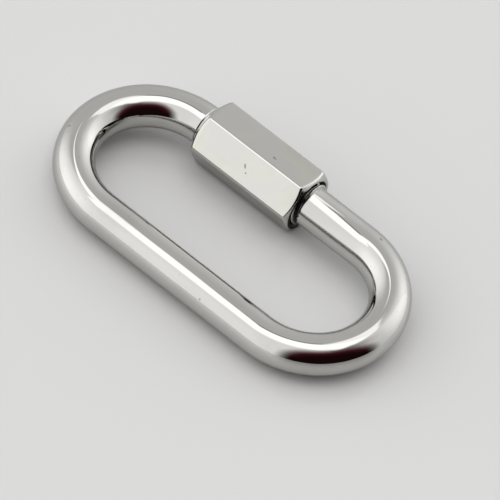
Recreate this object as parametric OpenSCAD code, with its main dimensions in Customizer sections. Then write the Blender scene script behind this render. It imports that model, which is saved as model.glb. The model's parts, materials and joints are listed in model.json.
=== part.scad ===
// Oval chain quick link: a bent round bar closed by a hexagonal screw sleeve.
// It lies as it comes to rest, on its plain long side and on the lowest edge of the sleeve.
// X runs along the link, the sleeve is on the side at +Y, and Z = 0 is the surface it lies on.

/* [Bar] */
// Diameter of the round bar
bar_d = 8; // [5:0.5:12]
// Clear width inside the link, from long side to long side
inner_w = 21.5; // [18:0.5:40]

/* [Threaded ends] */
// Height of the rolled thread's crests above the bar
thread_rise = 0.6; // [0.3:0.05:1]
// Opening between the two threaded ends, free once the sleeve is screwed back
gap_w = 8.5; // [5:0.5:14]
// Length of the fixed end's thread inside the closed sleeve
short_grip = 4; // [2.5:0.25:8]
// Length of the carrying end's thread inside the closed sleeve
long_grip = 11.5; // [6:0.25:16]
// Length of thread that shows at each end of the closed sleeve
thread_show = 0.8; // [0.5:0.05:1.2]
// Length over which a thread runs out into the bar
runout_len = 0.4; // [0.2:0.05:0.7]
// Chamfer at the tips of the threaded ends
tip_chamfer = 0.7; // [0.2:0.1:1.2]

/* [Sleeve] */
// Wall of the sleeve between its bore and its flats
sleeve_wall = 1.25; // [1.1:0.05:3]
// How far the sleeve's six long edges are turned down from sharp corners
edge_break = 0.1; // [0.02:0.02:0.3]
// How far in from the flats the domed ends meet the end faces
end_inset = 0.45; // [0.1:0.05:0.6]
// Width of the countersink at each mouth of the sleeve
mouth_chamfer = 0.5; // [0.1:0.05:0.7]
// Turn of the closed sleeve, from a flat that lies level with the link's own plane
sleeve_turn = 8.5; // [0:0.5:60]
// Running gap between the sleeve's bore and the thread crests, on the radius
thread_clear = 0.05; // [0.02:0.01:0.1]

/* [Room on the straight side] */
// Straight bar between the closed sleeve and its bow
fixed_room = 1.25; // [0.9:0.05:4]
// Straight bar between the opened sleeve and the other bow
open_room = 0.75; // [0.1:0.05:4]

/* [Hidden] */
$fn = 96;
bar_r = bar_d / 2;
crest_r = bar_r + thread_rise;
// Radius of the bows on the centre line of the bar
bow_r = inner_w / 2 + bar_r;
// The sleeve, its way from closed to open, and half the straight side that holds both
sleeve_len = short_grip + gap_w + long_grip;
sleeve_travel = short_grip + gap_w;
side_half = (fixed_room + sleeve_len + sleeve_travel + open_room) / 2;
// Ends of the closed sleeve along the link
sleeve_x0 = -side_half + fixed_room;
sleeve_x1 = sleeve_x0 + sleeve_len;
// Tips of the threaded ends, and where their threads run out
fixed_tip_x = sleeve_x0 + short_grip;
carry_tip_x = fixed_tip_x + gap_w;
fixed_root_x = sleeve_x0 - thread_show;
carry_root_x = sleeve_x1 + thread_show;
// Section of the sleeve: bore, mouth, end ring and flats
bore_r = crest_r + thread_clear;
mouth_r = bore_r + mouth_chamfer;
flat_r = bore_r + sleeve_wall;
end_ring_r = flat_r - end_inset;
// Corners of the hexagon, sharp and turned down, and half the angle of the narrow land this leaves
sharp_r = flat_r / cos(30);
corner_r = sharp_r - edge_break;
land_half = 30 - acos(flat_r / corner_r);
// Ball about the sleeve's middle that its two ends are turned to
dome_r = norm([sleeve_len / 2, end_ring_r]);
// Lean of the link where a level surface touches the plain side and a long edge of the sleeve
edge_turns = [for (k = [0:5], side = [-1, 1]) sleeve_turn + 30 + 60 * k + side * land_half];
edge_leans = [
    for (turn = edge_turns)
        let (drop = -corner_r * cos(turn), reach = 2 * bow_r + corner_r * sin(turn))
            atan2(drop, reach) - asin(bar_r / norm([drop, reach]))
];
rest_lean = max(edge_leans);
// Height of the link's centre above that surface, and the shift to the middle of its width
rest_lift = bow_r * sin(rest_lean) + bar_r;
sleeve_reach = corner_r * max([for (turn = edge_turns) sin(turn - rest_lean)]);
rest_shift = (bar_r - sleeve_reach) / 2;
// Overrun of cutting shapes past the faces that they cut
cut_over = 1;

// Lays the link down out of its own plane
module at_rest() {
    translate([0, rest_shift, rest_lift])
        rotate([rest_lean, 0, 0])
            children();
}

// Solid turned about X from a profile of [distance along X, radius] points
module turned(profile) {
    rotate([0, 90, 0])
        rotate_extrude()
            polygon([for (p = profile) [p[1], p[0]]]);
}

// The plain long side, from bow to bow
module plain_side() {
    translate([0, -bow_r, 0])
        turned([
            [-side_half, 0],
            [-side_half, bar_r],
            [side_half, bar_r],
            [side_half, 0]
        ]);
}

// Half turn of bar, at the +X end for side 1 and at the -X end for side -1
module bow(side) {
    translate([side * side_half, 0, 0])
        rotate([0, 0, -90 * side])
            rotate_extrude(angle = 180)
                translate([bow_r, 0])
                    circle(d = bar_d);
}

// Straight bar from a bow on to its threaded end, drawn at the crests as far as the chamfered tip
module threaded_end(bow_x, root_x, tip_x) {
    way = sign(tip_x - root_x);
    translate([0, bow_r, 0])
        turned([
            [bow_x, 0],
            [bow_x, bar_r],
            [root_x, bar_r],
            [root_x + way * runout_len, crest_r],
            [tip_x - way * tip_chamfer, crest_r],
            [tip_x, crest_r - tip_chamfer],
            [tip_x, 0]
        ]);
}

// The bent bar with its two threaded ends
module link_body() {
    color("gainsboro")
        at_rest() {
            bow(1);
            bow(-1);
            plain_side();
            threaded_end(-side_half, fixed_root_x, fixed_tip_x);
            threaded_end(side_half, carry_root_x, carry_tip_x);
        }
}

// Hexagonal blank of the sleeve, one flat facing +Z, with its long edges turned down and its ends domed
module sleeve_blank() {
    translate([(sleeve_x0 + sleeve_x1) / 2, 0, 0])
        intersection() {
            rotate([90, 0, 90])
                cylinder(r = sharp_r, h = sleeve_len + 2 * cut_over, center = true, $fn = 6);
            rotate([0, 90, 0])
                rotate_extrude()
                    intersection() {
                        circle(r = dome_r);
                        translate([0, -sleeve_len / 2])
                            square([corner_r, sleeve_len]);
                    }
        }
}

// Bore of the sleeve with a countersunk mouth at each end
module sleeve_hole() {
    turned([
        [sleeve_x0 - cut_over, 0],
        [sleeve_x0 - cut_over, mouth_r],
        [sleeve_x0, mouth_r],
        [sleeve_x0 + mouth_chamfer, bore_r],
        [sleeve_x1 - mouth_chamfer, bore_r],
        [sleeve_x1, mouth_r],
        [sleeve_x1 + cut_over, mouth_r],
        [sleeve_x1 + cut_over, 0]
    ]);
}

// The hexagonal sleeve, screwed shut over the opening
module screw_sleeve() {
    color("silver")
        at_rest()
            translate([0, bow_r, 0])
                rotate([-sleeve_turn, 0, 0])
                    difference() {
                        sleeve_blank();
                        sleeve_hole();
                    }
}

link_body();
screw_sleeve();
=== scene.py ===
import json
import math

import bmesh
import bpy
from mathutils import Matrix, Vector


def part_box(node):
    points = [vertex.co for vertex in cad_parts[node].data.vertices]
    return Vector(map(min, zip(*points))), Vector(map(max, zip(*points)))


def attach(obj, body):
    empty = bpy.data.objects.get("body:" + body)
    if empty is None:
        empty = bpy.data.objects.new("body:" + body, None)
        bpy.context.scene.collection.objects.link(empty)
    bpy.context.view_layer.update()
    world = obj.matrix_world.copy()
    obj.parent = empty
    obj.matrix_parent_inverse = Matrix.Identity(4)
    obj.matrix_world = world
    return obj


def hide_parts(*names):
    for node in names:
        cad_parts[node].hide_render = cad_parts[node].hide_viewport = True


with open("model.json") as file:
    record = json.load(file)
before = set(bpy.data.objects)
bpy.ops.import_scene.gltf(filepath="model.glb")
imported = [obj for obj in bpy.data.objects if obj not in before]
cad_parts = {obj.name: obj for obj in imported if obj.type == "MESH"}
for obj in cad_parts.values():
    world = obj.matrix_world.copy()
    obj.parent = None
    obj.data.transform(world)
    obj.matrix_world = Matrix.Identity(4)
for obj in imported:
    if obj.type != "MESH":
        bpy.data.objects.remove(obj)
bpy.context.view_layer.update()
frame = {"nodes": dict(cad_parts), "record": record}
mm = 0.001
print("frame loaded:", ", ".join(sorted(frame["nodes"])))


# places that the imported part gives: the link's middle, its lean, and the sleeve's axis
places = {m["name"]: Vector(m["pos_m"]) for m in frame["record"]["mounts"]}
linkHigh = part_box("link_body")[1]
sleeveLow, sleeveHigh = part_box("screw_sleeve")
linkMiddle = (places["carrying_bow_seat"] + places["fixed_bow_seat"]) / 2
upperFlat, lowerFlat = places["spanner_flat_upper"], places["spanner_flat_lower"]
sleeveReach = (upperFlat + lowerFlat) / 2 - linkMiddle
sleeveReach.x = 0
barR = (linkHigh.x - places["carrying_bow_seat"].x) / 2
bowR = sleeveReach.length
sideHalf = linkHigh.x - barR - bowR
restLean = math.atan2(sleeveReach.z, sleeveReach.y)
sleeveAxis = linkMiddle + sleeveReach
atRest = Matrix.Translation(linkMiddle) @ Matrix.Rotation(restLean, 4, "X")

thread = {
    "pitch": 1.25 * mm,
    "crestR": 4.6 * mm,
    "rootR": 3.84 * mm,
    "ringsPerTurn": 24,
    "showFixed": 1.2 * mm,  # thread that shows at each end of the closed sleeve
    "showCarry": 0.8 * mm,
    "runout": 0.5 * mm,  # length over which it fades into the bar
    "flat": 0.16,  # share of the flank that is flat at crest and root
}
fixedRoot = sleeveLow.x - thread["showFixed"]
carryRoot = sleeveHigh.x + thread["showCarry"]
ringGap = thread["pitch"] / thread["ringsPerTurn"]


def ease(value):
    value = min(max(value, 0.0), 1.0)
    return value * value * (3 - 2 * value)


def threadR(x, angle):  # right-hand thread about the X axis
    turn = x / thread["pitch"] - angle / math.tau
    rise = abs(2 * (turn % 1.0) - 1)
    flank = (rise - thread["flat"]) / (1 - 2 * thread["flat"])
    return thread["rootR"] + (thread["crestR"] - thread["rootR"]) * ease(flank)


meshing = {
    "mergeGap": 1e-7,  # vertices closer than this become one
    "sharpAngle": math.radians(50),  # edges bent more than this stay crisp
}


def edgesOf(made):
    return [e for e in made if isinstance(e, bmesh.types.BMEdge)]


def vertsOf(made):
    return [v for v in made if isinstance(v, bmesh.types.BMVert)]


def drawOn(bm, loop):  # extrudes a loop of edges, and gives the new loop and its vertices
    made = bmesh.ops.extrude_edge_only(bm, edges=loop)["geom"]
    fresh = vertsOf(made)
    far = set(fresh)
    return [e for e in edgesOf(made) if e.verts[0] in far and e.verts[1] in far], fresh


def drawRun(bm, loop, length):  # straight run along X, and its long edges
    farLoop, fresh = drawOn(bm, loop)
    bmesh.ops.translate(bm, vec=(length, 0, 0), verts=fresh)
    far = set(fresh)
    return farLoop, [e for v in fresh for e in v.link_edges if e.other_vert(v) not in far]


def finishPiece(bm, name, body, node, material):
    for face in bm.faces:
        face.smooth = True
    for edge in bm.edges:
        edge.smooth = edge.calc_face_angle(0) < meshing["sharpAngle"]
    bmesh.ops.remove_doubles(bm, verts=bm.verts, dist=meshing["mergeGap"])
    bmesh.ops.recalc_face_normals(bm, faces=bm.faces)
    mesh = bpy.data.meshes.new(name)
    bm.to_mesh(mesh)
    bm.free()
    piece = bpy.data.objects.new(name, mesh)
    bpy.context.scene.collection.objects.link(piece)
    mesh.materials.append(material)
    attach(piece, body)
    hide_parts(node)
    print(name, len(mesh.polygons), "faces")


# one wire of a node tree: sums on it add Math nodes, node() adds any other kind
class Wire:
    def __init__(self, tree, socket=None):
        self.tree = tree
        self.socket = socket

    def node(self, kind, settings=None, sockets=None, out=0):
        made = self.tree.nodes.new("ShaderNode" + kind)
        for name, value in (settings or {}).items():
            setattr(made, name, value)
        for name, value in (sockets or {}).items():
            if isinstance(value, Wire):
                self.tree.links.new(value.socket, made.inputs[name])
            else:
                made.inputs[name].default_value = value
        return Wire(self.tree, made.outputs[out] if made.outputs else None)

    def maths(self, operation, *values):
        return self.node("Math", {"operation": operation}, dict(enumerate(values)))

    def step(self, low, high):  # 0 below low, 1 above high, eased between
        return self.node(
            "MapRange",
            {"interpolation_type": "SMOOTHSTEP"},
            {"Value": self, "From Min": low, "From Max": high, "To Min": 0.0, "To Max": 1.0},
        )

    def past(self, edge, soft):
        return self.step(edge - soft, edge + soft)

    def between(self, low, high, soft):
        return self.past(low, soft) * (1 - self.past(high, soft))

    def axis(self, index):  # one number of this vector
        return self.node("SeparateXYZ", None, {"Vector": self}, index)

    def far(self, spot):  # distance of this vector from a place
        return self.node("VectorMath", {"operation": "DISTANCE"}, {0: self, 1: spot}, "Value")

    def stretch(self, scale):
        return self.node("Mapping", None, {"Vector": self, "Scale": scale})

    def noise(self, scale, detail):
        return self.node("TexNoise", None, {"Vector": self, "Scale": scale, "Detail": detail})

    def patches(self, scale, detail, low, high):  # noise that shows only where it is strong
        return self.noise(scale, detail).step(low, high)

    def blend(self, low, high):  # colours mixed by this wire, on the Mix node's colour sockets
        return self.node("Mix", {"data_type": "RGBA"}, {0: self, 6: low, 7: high}, 2)

    def __add__(self, other):
        return self.maths("ADD", self, other)

    def __radd__(self, other):
        return self.maths("ADD", other, self)

    def __sub__(self, other):
        return self.maths("SUBTRACT", self, other)

    def __rsub__(self, other):
        return self.maths("SUBTRACT", other, self)

    def __mul__(self, other):
        return self.maths("MULTIPLY", self, other)

    def __rmul__(self, other):
        return self.maths("MULTIPLY", other, self)

    def __truediv__(self, other):
        return self.maths("DIVIDE", self, other)

    def __rtruediv__(self, other):
        return self.maths("DIVIDE", other, self)

    def __pow__(self, other):
        return self.maths("POWER", self, other)

    def __rpow__(self, other):
        return self.maths("POWER", other, self)


steel = {
    "edgeTint": (0.76, 0.765, 0.77),  # it reflects less at a glancing angle than the plain rule says
    "bumpDistance": 0.1 * mm,
    "pitFloor": 0.3,  # share of a pit's reach that is its floor
    "eyeSide": (0.8 * mm, 2.6 * mm),  # where the side towards the eye starts and is full
}


def opaque(colour):
    return (*colour, 1)


# where a pit is, 1 at its middle
def pitsIn(place, spots):
    mask = 0.0
    for x, y, z, reach in spots:
        fromPit = place.far((x * mm, y * mm, z * mm))
        pit = 1 - fromPit.step(steel["pitFloor"] * reach * mm, reach * mm)
        mask = place.maths("MAXIMUM", mask, pit)
    return mask


# how deep in the thread a place is, by its distance from the sleeve's axis
def fromAxis(place):
    flatten = place.node("VectorMath", {"operation": "MULTIPLY"}, {0: place, 1: (0, 1, 1)})
    return flatten.far((0, sleeveAxis.y, sleeveAxis.z))


# 1 on the side of the sleeve's axis that faces the link's eye, where the painted shade is strongest
def eyeSide(place):
    return (sleeveAxis.y - place.axis(1)).step(*steel["eyeSide"])


def newSteel(name):
    material = bpy.data.materials.new(name)
    material.use_nodes = True
    material.node_tree.nodes.clear()
    start = Wire(material.node_tree)
    return material, start, start.node("TexCoord", out="Object")


def coverWith(start, finish, colour, rough, paintedShade, height):  # polished steel, with painted shade where the mask is 1
    bump = start.node(
        "Bump",
        None,
        {"Strength": finish["bumpStrength"], "Distance": steel["bumpDistance"], "Height": height},
    )
    shader = start.node(
        "BsdfPrincipled",
        None,
        {
            "Metallic": 1.0,
            "Specular Tint": opaque(steel["edgeTint"]),
            "Base Color": paintedShade.blend(colour, opaque(finish["paintedShade"])),
            "Roughness": rough + (finish["paintedShadeRoughness"] - rough) * paintedShade,
            "Normal": bump,
        },
    )
    start.node("OutputMaterial", None, {"Surface": shader})


barFinish = {
    "steel": (0.53, 0.5255, 0.504),
    "dull": (0.46, 0.456, 0.437),
    # colour of the painted shade in the thread
    "paintedShade": (0.035, 0.034, 0.032),
    "pit": (0.16, 0.155, 0.145),
    "roughness": (0.02, 0.07),
    "paintedShadeRoughness": 0.45,
    "smears": (90.0, 4.0, 0.5, 0.75),  # scale and detail of the noise, where it starts and is full
    "smearShare": 0.6,
    "hairStretch": (300.0, 5200.0, 5200.0),
    "hairlines": (1.0, 3.0, 0.62, 0.72),
    "peel": (900.0, 2.0),
    "waves": (75.0, 0.0),
    "specks": (520.0, 0.05, 0.14),  # scale, size of the middle and of the whole
    "speckShare": 0.12,
    "speckRoughness": 0.05,
    "pits": (  # middle and reach in mm
        (7.6, -19.5, 6.0, 0.35),
        (-35.2, -7.7, 7.8, 0.4),
        (22.2, 14.2, 9.9, 0.45),
        (21.9, 14.4, 10.0, 0.3),
    ),
    "pitShare": 0.5,
    "pitRoughness": 0.2,
    "bumpStrength": 0.02,
    "relief": {"waves": 45.0, "hairlines": 0.4, "pits": 2.5, "specks": 0.3},  # against the peel
    "wanderNoise": (1500.0, 2.0),
    "shadeWander": 0.9 * mm,  # how unevenly the painted shade ends along the bar
    "shadeSoft": 0.1 * mm,
    "shadeReach": (5.0 * mm, 6.0 * mm),  # distance from the sleeve's axis at which it ends
    "valley": (4.05 * mm, 4.5 * mm),  # from the thread's floor up to its crests
    # share of the painted shade on the crests
    "crestShade": 0.12,
    "outerShade": 0.3,  # share of the painted shade on the side away from the eye
}

# polished bar: soft handling smears, hairline scratches and a few shallow pits
barSteel, start, place = newSteel("barSteel")
smears = place.patches(*barFinish["smears"])
hairlines = place.stretch(barFinish["hairStretch"]).patches(*barFinish["hairlines"])
peel = place.noise(*barFinish["peel"])
waves = place.noise(*barFinish["waves"])
pits = pitsIn(place, barFinish["pits"])
speckScale, speckMiddle, speckReach = barFinish["specks"]
fromSpeck = start.node("TexVoronoi", None, {"Vector": place, "Scale": speckScale})
specks = 1 - fromSpeck.step(speckMiddle, speckReach)

# painted shade darkens the thread inside the sleeve and just past it, most in the valleys and on the
# side towards the eye
wanderNoise = place.noise(*barFinish["wanderNoise"])
depth = fromAxis(place)
along = place.axis(0) + barFinish["shadeWander"] * (wanderNoise - 0.5)
inThread = along.between(sleeveLow.x, carryRoot, barFinish["shadeSoft"])
inThread = inThread * (1 - depth.step(*barFinish["shadeReach"]))
onCrest, outside = barFinish["crestShade"], barFinish["outerShade"]
valley = 1 - depth.step(*barFinish["valley"])
paintedShade = inThread * (onCrest + (1 - onCrest) * valley) * (outside + (1 - outside) * eyeSide(place))

relief = barFinish["relief"]
height = peel + relief["waves"] * waves - relief["hairlines"] * hairlines
height = height - relief["pits"] * pits - relief["specks"] * specks
colour = (barFinish["smearShare"] * smears).blend(opaque(barFinish["steel"]), opaque(barFinish["dull"]))
colour = (barFinish["speckShare"] * specks).blend(colour, opaque(barFinish["pit"]))
colour = (barFinish["pitShare"] * pits).blend(colour, opaque(barFinish["pit"]))
smooth, worn = barFinish["roughness"]
rough = smooth + (worn - smooth) * smears
rough = rough + barFinish["pitRoughness"] * pits + barFinish["speckRoughness"] * specks
coverWith(start, barFinish, colour, rough, paintedShade, height)
print("bar finish made")

sleeveFinish = {
    "steel": (0.54, 0.535, 0.513),
    "dull": (0.48, 0.475, 0.447),
    "warm": (0.56, 0.55, 0.495),
    # colour of the painted shade in the bore and mouths
    "paintedShade": (0.03, 0.029, 0.027),
    "pit": (0.13, 0.125, 0.115),
    "roughness": (0.05, 0.13),
    "paintedShadeRoughness": 0.5,
    "smears": (140.0, 5.0, 0.48, 0.78),
    "smearShare": 0.5,
    "drawnStretch": (120.0, 4200.0, 4200.0),
    "drawLines": (1.0, 4.0),
    "smudges": (150.0, 1.0, 0.42, 0.7),
    "pits": (
        (-2.97, 12.38, 12.12, 0.3),
        (-2.6, 12.3, 12.12, 0.22),
        (-6.3, 8.6, 9.65, 0.28),
        (-6.45, 8.75, 9.85, 0.22),
        (-6.15, 8.45, 9.45, 0.22),
        (-5.5, 8.04, 8.8, 0.22),
    ),
    "pitShare": 0.85,
    "pitRoughness": 0.3,
    "pitDepth": 4.0,  # against the draw lines
    "bumpStrength": 0.03,
    "shadeReach": (4.95 * mm, 5.2 * mm),  # distance from the axis at which the painted shade of the mouths ends
    "eyeReach": 0.6 * mm,  # how much further out it comes on the eye's side
}

# sleeve: drawn hexagon stock, so faint lines run along it
sleeveSteel, start, place = newSteel("sleeveSteel")
smears = place.patches(*sleeveFinish["smears"])
drawLines = place.stretch(sleeveFinish["drawnStretch"]).noise(*sleeveFinish["drawLines"])
smudges = place.patches(*sleeveFinish["smudges"])
pits = pitsIn(place, sleeveFinish["pits"])
# painted shade in the bore and mouths, reaching further over the end rings on the eye's side
depth = fromAxis(place) - sleeveFinish["eyeReach"] * eyeSide(place)
paintedShade = 1 - depth.step(*sleeveFinish["shadeReach"])
height = drawLines - sleeveFinish["pitDepth"] * pits
colour = smudges.blend(opaque(sleeveFinish["steel"]), opaque(sleeveFinish["warm"]))
colour = (sleeveFinish["smearShare"] * smears).blend(colour, opaque(sleeveFinish["dull"]))
colour = (sleeveFinish["pitShare"] * pits).blend(colour, opaque(sleeveFinish["pit"]))
smooth, worn = sleeveFinish["roughness"]
rough = smooth + (worn - smooth) * smears + sleeveFinish["pitRoughness"] * pits
coverWith(start, sleeveFinish, colour, rough, paintedShade, height)
print("sleeve finish made")


link = {
    "around": 96,
    "bowSteps": 72,
    "fixedGrip": 4.0 * mm,  # length of each threaded end inside the closed sleeve
    "carryGrip": 11.5 * mm,
    "tipChamfer": 0.7 * mm,
}

# the bar is drawn on from the fixed tip, round both bows, to the tip that carries the sleeve
fixedTip = sleeveLow.x + link["fixedGrip"]
carryTip = sleeveHigh.x - link["carryGrip"]
bm = bmesh.new()
startRing = Matrix.Translation((fixedTip, bowR, 0)) @ Matrix.Rotation(math.pi / 2, 4, "Y")
bmesh.ops.create_circle(bm, segments=link["around"], radius=barR, matrix=startRing)
ring = bm.edges[:]


def drawBow(ring, xCentre):
    ringVerts = list({v for e in ring for v in e.verts})
    made = bmesh.ops.spin(
        bm,
        geom=ringVerts + ring,
        cent=(xCentre, 0, 0),
        axis=(0, 0, 1),
        angle=math.pi,
        steps=link["bowSteps"],
    )
    return edgesOf(made["geom_last"])


ring, shortRun = drawRun(bm, ring, fixedRoot - fixedTip)
ring, _ = drawRun(bm, ring, -sideHalf - fixedRoot)
ring = drawBow(ring, -sideHalf)
ring, _ = drawRun(bm, ring, 2 * sideHalf)
ring = drawBow(ring, sideHalf)
ring, _ = drawRun(bm, ring, carryRoot - sideHalf)
ring, longRun = drawRun(bm, ring, carryTip - carryRoot)
for run in (shortRun, longRun):
    bmesh.ops.subdivide_edges(bm, edges=run, cuts=round(run[0].calc_length() / ringGap) - 1)

# the rolled thread stands proud of the bar and fades out into it
for v in bm.verts:
    if v.co.y < 0 or abs(v.co.x) > sideHalf:
        continue
    onFixedEnd = v.co.x < (fixedTip + carryTip) / 2
    root, tip = (fixedRoot, fixedTip) if onFixedEnd else (carryRoot, carryTip)
    way = math.copysign(1, tip - root)
    fromRoot = way * (v.co.x - root)
    if fromRoot <= 0:
        continue
    angle = math.atan2(v.co.z, v.co.y - bowR)
    radius = barR + (threadR(v.co.x, angle) - barR) * ease(fromRoot / thread["runout"])
    fromTip = way * (tip - v.co.x)
    radius = min(radius, thread["crestR"] - link["tipChamfer"] + fromTip)
    v.co.y = bowR + radius * math.cos(angle)
    v.co.z = radius * math.sin(angle)

openEdges = [e for e in bm.edges if e.is_boundary]
bmesh.ops.holes_fill(bm, edges=openEdges, sides=0)
bmesh.ops.transform(bm, matrix=atRest, verts=bm.verts)
finishPiece(bm, "linkBody", "link_body", "link_body", barSteel)


sleeve = {
    "edgeRound": 0.646 * mm,
    "edgeSegments": 6,
    "cutsPerFlat": 17,
    "endRingR": 5.45 * mm,
    "mouthR": 5.15 * mm,
    "threadClear": 0.05 * mm,
    "innerR": 4.07 * mm,  # clears the plain bar when the sleeve is run back
    "holdIn": 1.2 * mm,  # loop that keeps the flats flat up to their ends
    "endRound": 0.36 * mm,  # where the flats run into the domed ends
    "endSegments": 7,
    "edgeBreak": 0.05 * mm,
    "breakSegments": 2,
    "slack": 0.001 * mm,  # so that rounding leaves no vertex out of the bore
}

# hexagon with rounded corners, one flat square to the line between the spanner flats
flatR = (upperFlat - lowerFlat).length / 2
sharpR = flatR / math.cos(math.pi / 6)
sleeveHalf = (sleeveHigh.x - sleeveLow.x) / 2
sleeveMidX = (sleeveHigh.x + sleeveLow.x) / 2
flatTurn = math.atan2(upperFlat.z - lowerFlat.z, upperFlat.y - lowerFlat.y) - restLean
domeR = math.hypot(sleeveHalf, sleeve["endRingR"])
bm = bmesh.new()
endOn = Matrix(((0, 0, 1, 0), (1, 0, 0, 0), (0, 1, 0, 0), (0, 0, 0, 1)))
atHold = Matrix.Translation((sleeveHalf - sleeve["holdIn"], 0, 0))
facing = atHold @ Matrix.Rotation(flatTurn, 4, "X") @ endOn
bmesh.ops.create_circle(bm, cap_ends=True, segments=6, radius=sharpR, matrix=facing)
bmesh.ops.bevel(
    bm,
    geom=bm.verts[:],
    offset=sleeve["edgeRound"] * math.tan(math.pi / 6),
    offset_type="OFFSET",
    segments=sleeve["edgeSegments"],
    profile=0.5,
    affect="VERTICES",
    material=-1,
)
longEdges = [e for e in bm.edges if e.calc_length() > sleeve["edgeRound"]]
bmesh.ops.subdivide_edges(bm, edges=longEdges, cuts=sleeve["cutsPerFlat"])
bmesh.ops.delete(bm, geom=bm.faces[:], context="FACES_ONLY")


def turnKey(v):
    return round(math.atan2(v.co.z, v.co.y) % math.tau, 4)


outerAt = {turnKey(v): math.hypot(v.co.y, v.co.z) for v in bm.verts}


def boreR(x, angle):
    cut = max(threadR(x + sleeveMidX, angle) + sleeve["threadClear"], sleeve["innerR"])
    return max(cut, sleeve["mouthR"] - (sleeveHalf - abs(x)))


def putVert(v, x, radius):
    angle = math.atan2(v.co.z, v.co.y)
    v.co = (x, radius * math.cos(angle), radius * math.sin(angle))


# draws the loop on to its next station: share 0 is the hexagon and 1 the end ring, both on the dome
def nextLoop(loop, side, share=0, radius=None, x=None):
    farLoop, fresh = drawOn(bm, loop)
    for v in fresh:
        outer = outerAt[turnKey(v)]
        r = radius if radius else outer + (sleeve["endRingR"] - outer) * share
        putVert(v, x if x is not None else side * math.sqrt(domeR**2 - r**2), r)
    return farLoop


# from the flats over one end, through the bore, and over the other end back to the flats
firstLoop = bm.edges[:]
endLoop = nextLoop(firstLoop, 1)
ringLoop = nextLoop(endLoop, 1, share=1)
mouthLoop = nextLoop(ringLoop, 1, radius=sleeve["mouthR"], x=sleeveHalf)
farMouthLoop, boreRun = drawRun(bm, mouthLoop, -2 * sleeveHalf)
keyLoops = ringLoop + mouthLoop + farMouthLoop
bmesh.ops.subdivide_edges(bm, edges=boreRun, cuts=round(2 * sleeveHalf / ringGap) - 1)
endVerts = {v for e in keyLoops for v in e.verts}
for v in bm.verts:
    if v not in endVerts and math.hypot(v.co.y, v.co.z) < sleeve["mouthR"] + sleeve["slack"]:
        putVert(v, v.co.x, boreR(v.co.x, math.atan2(v.co.z, v.co.y)))
farRingLoop = nextLoop(farMouthLoop, -1, share=1)
farEndLoop = nextLoop(farRingLoop, -1)
lastLoop = nextLoop(farEndLoop, -1, x=-sleeveHalf + sleeve["holdIn"])
bmesh.ops.bridge_loops(bm, edges=firstLoop + lastLoop)
bmesh.ops.recalc_face_normals(bm, faces=bm.faces)
for edges, width, segments in (
    (keyLoops + farRingLoop, sleeve["edgeBreak"], sleeve["breakSegments"]),
    (endLoop + farEndLoop, sleeve["endRound"], sleeve["endSegments"]),
):
    bmesh.ops.bevel(
        bm,
        geom=[e for e in edges if e.is_valid],
        offset=width,
        offset_type="OFFSET",
        segments=segments,
        profile=0.5,
        affect="EDGES",
        material=-1,
    )
onAxis = Matrix.Translation((sleeveMidX, bowR, 0))
bmesh.ops.transform(bm, matrix=atRest @ onAxis, verts=bm.verts)
finishPiece(bm, "screwSleeve", "screw_sleeve", "screw_sleeve", sleeveSteel)


stage = {
    "floorR": 3.0,
    "floorSegments": 64,
    "floorColour": (0.67, 0.67, 0.667),
    "floorRoughness": 0.26,
    "floorIOR": 1.6,
}

bm = bmesh.new()
bmesh.ops.create_circle(bm, cap_ends=True, segments=stage["floorSegments"], radius=stage["floorR"])
floorMesh = bpy.data.meshes.new("floor")
bm.to_mesh(floorMesh)
bm.free()
floor = bpy.data.objects.new("floor", floorMesh)
bpy.context.scene.collection.objects.link(floor)
paper = bpy.data.materials.new("floorPaper")
paper.use_nodes = True
paper.node_tree.nodes.clear()
start = Wire(paper.node_tree)
shader = start.node(
    "BsdfPrincipled",
    None,
    {
        "Base Color": opaque(stage["floorColour"]),
        "Roughness": stage["floorRoughness"],
        "IOR": stage["floorIOR"],
    },
)
start.node("OutputMaterial", None, {"Surface": shader})
floorMesh.materials.append(paper)
print("floor made")

tent = {
    "turn": math.radians(29.2),  # its front faces the camera
    "back": 0.70,
    "walls": (  # level, the two ends as azimuths in degrees, and how soft each end is
        (1.22, -98.0, -16.0, 14.0, 1.5),
        (1.22, -16.0, 74.0, 1.5, 1.5),
        (0.84, 74.0, 164.0, 1.5, 1.5),
    ),
    "glows": (  # gain, azimuth, angle from straight up, and half widths; the last one is a shade
        (0.55, -58.0, 76.0, 34.0, 34.0),
        (0.95, 160.0, 66.0, 30.0, 34.0),
        (-0.5, 102.0, 30.0, 22.0, 14.0),
    ),
    "clothStretch": (6.0, 6.0, 1.5),
    "folds": (1.0, 2.0),
    "foldDepth": 0.12,  # unevenness of the cloth
    "lowestZ": 0.02,  # slopes stop growing near the horizon
    "overhead": (0.3, 0.4),  # height of direction at which the tubes start and are full
}

# soft studio tent by direction: three lit walls, a grey back, lamps above and a dark arched doorway
world = bpy.data.worlds.new("studioTent")
bpy.context.scene.world = world
world.use_nodes = True
world.node_tree.nodes.clear()
start = Wire(world.node_tree)
towards = start.node("TexCoord", out="Generated")
dirX, dirY, dirZ = (towards.axis(index) for index in range(3))
azimuth = start.maths("DEGREES", start.maths("ARCTAN2", dirX, 0 - dirY))
fromUp = start.maths("DEGREES", start.maths("ARCCOSINE", dirZ))
safeZ = start.maths("MAXIMUM", dirZ, tent["lowestZ"])
ahead = (dirX * math.sin(tent["turn"]) - dirY * math.cos(tent["turn"])) / safeZ
aside = (dirX * math.cos(tent["turn"]) + dirY * math.sin(tent["turn"])) / safeZ
overhead = dirZ.step(*tent["overhead"])


def off(angle, middle):
    return start.maths("WRAP", angle - middle, 180.0, -180.0)


def glow(gain, atAzimuth, atAngle, halfWide, halfHigh):
    across = off(azimuth, atAzimuth) / halfWide
    upwards = (fromUp - atAngle) / halfHigh
    return gain * start.maths("EXPONENT", 0 - (across * across + upwards * upwards))


def raised(light, level, mask):  # the light, brought to a level where the mask is 1
    return light + (level - light) * mask


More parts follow.
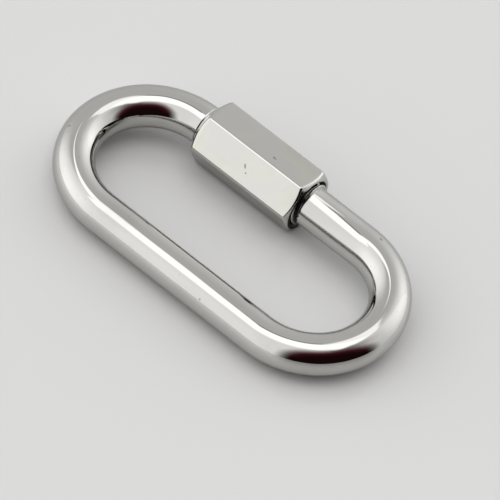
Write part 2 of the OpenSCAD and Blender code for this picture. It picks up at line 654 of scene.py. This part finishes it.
light = tent["back"]
for level, fromEdge, toEdge, fromSoft, toSoft in tent["walls"]:
    span = azimuth.past(fromEdge, fromSoft) * (1 - azimuth.past(toEdge, toSoft))
    light = light + (level - tent["back"]) * span
for spot in tent["glows"]:
    light = light + glow(*spot)
folds = towards.stretch(tent["clothStretch"]).noise(*tent["folds"])
light = light * (1 + tent["foldDepth"] * (folds - 0.5))

topLight = {
    "level": 1.98,
    "ends": (-0.26, 0.28),  # back and front edge, as slopes
    "endSoft": (0.015, 0.08),
    "sides": (-0.62, 0.42),
    "sideSoft": 0.07,
    "lean": 0.45,  # how the left part of its back edge comes forward
    "leanStart": 0.05,
    "seam": 0.54,  # how much the seam behind its back edge darkens
    "seamWidth": 0.09,
    "seamSides": (-0.33, 0.05),
    "seamSoft": 0.05,
}
topBack, topFront = topLight["ends"]
backSoft, frontSoft = topLight["endSoft"]
leftOnly = start.maths("MINIMUM", aside + topLight["leanStart"], 0.0)
backEdge = ahead + topLight["lean"] * leftOnly
topMask = backEdge.past(topBack, backSoft) * (1 - ahead.past(topFront, frontSoft))
topMask = topMask * aside.between(*topLight["sides"], topLight["sideSoft"])
seam = backEdge.between(topBack - topLight["seamWidth"], topBack - backSoft, backSoft)
seam = seam * aside.between(*topLight["seamSides"], topLight["seamSoft"])
light = light * (1 - topLight["seam"] * seam)

rightTube = {
    "level": 1.7,
    "back": -0.63,  # its back edge at its near end, as a slope
    "lean": 0.65,
    "width": 0.38,
    "widthSoft": 0.025,
    "ends": (0.05, 0.46),  # how far it starts and ends to the side
    "endSoft": 0.04,
}
rightEdge = ahead - rightTube["back"] - rightTube["lean"] * (aside - rightTube["ends"][0])
rightMask = rightEdge.between(0.0, rightTube["width"], rightTube["widthSoft"])
rightMask = rightMask * aside.between(*rightTube["ends"], rightTube["endSoft"])
light = raised(light, rightTube["level"], rightMask * overhead)

leftTube = {
    "level": 1.9,
    "sides": (-0.47, -0.27),
    "sideSoft": 0.02,
    "taper": 0.45,  # how its left side comes in towards the back
    "taperStart": -0.4,
    "ends": (-0.8, -0.1),  # back and front end
    "endSoft": 0.04,
}
leftSide, rightSide = leftTube["sides"]
behind = start.maths("MAXIMUM", leftTube["taperStart"] - ahead, 0.0)
leftEdge = aside - leftTube["taper"] * behind
leftMask = leftEdge.past(leftSide, leftTube["sideSoft"])
leftMask = leftMask * (1 - aside.past(rightSide, leftTube["sideSoft"]))
leftMask = leftMask * ahead.between(*leftTube["ends"], leftTube["endSoft"])
light = raised(light, leftTube["level"], leftMask * overhead)
light = raised(light, topLight["level"], topMask)

doorway = {
    "azimuth": 63.0,
    "halfWidth": 48.5,
    "foot": 97.0,  # angle from straight up
    "height": 75.8,
    "squareness": 3.3,
    "edge": (0.4, 1.5),  # where its dark starts to fade and is gone
    "footEdge": (-0.05, 0.01),
    "colour": (0.013, 0.004, 0.005),
    "rimColour": (0.08, 0.012, 0.018),
    "rimStart": (0.12, 0.55),
    "rimHeight": (0.25, 0.55),
}
across = start.maths("ABSOLUTE", off(azimuth, doorway["azimuth"])) / doorway["halfWidth"]
upwards = (doorway["foot"] - fromUp) / doorway["height"]
arch = start.maths("MAXIMUM", upwards, 0.0) ** doorway["squareness"]
inside = across ** doorway["squareness"] + arch
opening = (1 - inside.step(*doorway["edge"])) * upwards.step(*doorway["footEdge"])
rim = inside.step(*doorway["rimStart"]) * upwards.step(*doorway["rimHeight"])
dark = rim.blend(opaque(doorway["colour"]), opaque(doorway["rimColour"]))
background = start.node("Background", None, {"Color": opening.blend(light, dark), "Strength": 1.0})
start.node("OutputWorld", None, {"Surface": background})
print("studio made")


shot = {
    "aim": Vector((4.756, -1.110, 3.166)) * mm,
    "distance": 1.59127,
    "azimuth": math.radians(29.20),
    "elevation": math.radians(48.02),
    "roll": math.radians(15.20),
    "lens": 624.6,
    "sensor": 36.0,
    "clip": (0.05, 20.0),
}

cameraData = bpy.data.cameras.new("camera")
cameraData.lens = shot["lens"]
cameraData.sensor_width = shot["sensor"]
cameraData.clip_start, cameraData.clip_end = shot["clip"]
camera = bpy.data.objects.new("camera", cameraData)
bpy.context.scene.collection.objects.link(camera)
bpy.context.scene.camera = camera
tilt = Matrix.Rotation(math.pi / 2 - shot["elevation"], 4, "X")
turned = Matrix.Rotation(shot["azimuth"], 4, "Z") @ tilt
back = turned.to_3x3() @ Vector((0, 0, 1))
stand = Matrix.Translation(shot["aim"] + shot["distance"] * back)
camera.matrix_world = stand @ turned @ Matrix.Rotation(shot["roll"], 4, "Z")
bpy.context.scene.view_settings.view_transform = "Standard"
print("camera set")
